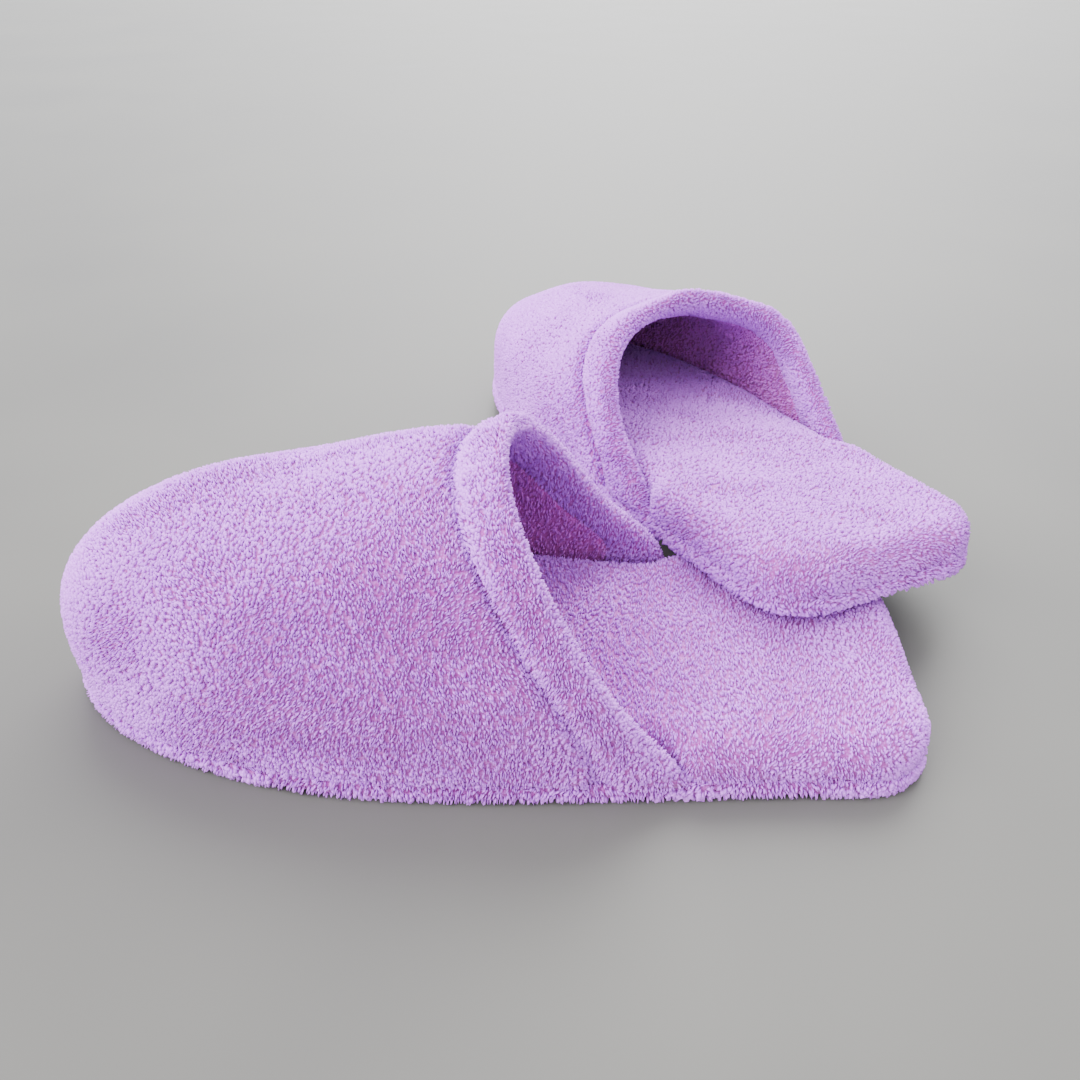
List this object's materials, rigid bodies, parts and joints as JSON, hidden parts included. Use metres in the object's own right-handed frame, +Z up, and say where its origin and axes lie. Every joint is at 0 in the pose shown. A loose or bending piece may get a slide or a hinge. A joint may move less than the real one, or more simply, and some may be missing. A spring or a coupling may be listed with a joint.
{
  "type": "spa slippers",
  "caption": "Closed-toe backless spa slippers in padded terry towelling with folded cuffs, one lying flat and the other propped on its heel.",
  "frame": {"origin": "under the middle of the near slipper's outsole, on the floor", "axes": "+Z up; the near slipper's toe points along -X and its heel along +X; the far slipper lies towards +Y"},
  "size_m": [0.2941, 0.307, 0.0855],
  "materials": {
    "terry": "looped pile",
    "lining_terry": "looped pile",
    "thread": "matte",
    "wadding": "soft, matte",
    "footbed_foam": "open-cell foam",
    "midsole_eva": "closed-cell foam, matte",
    "outsole_textile": "woven, with anti-slip dots"
  },
  "bodies": {
    "near_slipper": {"near_outsole": "outsole_textile", "near_midsole_board": "midsole_eva", "near_footbed_foam": "footbed_foam", "near_insole_cover": "terry", "near_sole_rim": "terry", "near_sole_seam": "thread", "near_vamp_terry": "terry", "near_vamp_wadding": "wadding", "near_vamp_lining": "lining_terry", "near_opening_cuff": "terry", "near_cuff_seam": "thread"},
    "far_slipper": {"far_outsole": "outsole_textile", "far_midsole_board": "midsole_eva", "far_footbed_foam": "footbed_foam", "far_insole_cover": "terry", "far_sole_rim": "terry", "far_sole_seam": "thread", "far_vamp_terry": "terry", "far_vamp_wadding": "wadding", "far_vamp_lining": "lining_terry", "far_opening_cuff": "terry", "far_cuff_seam": "thread"}
  },
  "joints": [
    {"name": "far_slipper_lift", "type": "slide", "parent": "near_slipper", "child": "far_slipper", "axis": [0, 0, 1], "range_m": [0, 0.12]}
  ]
}
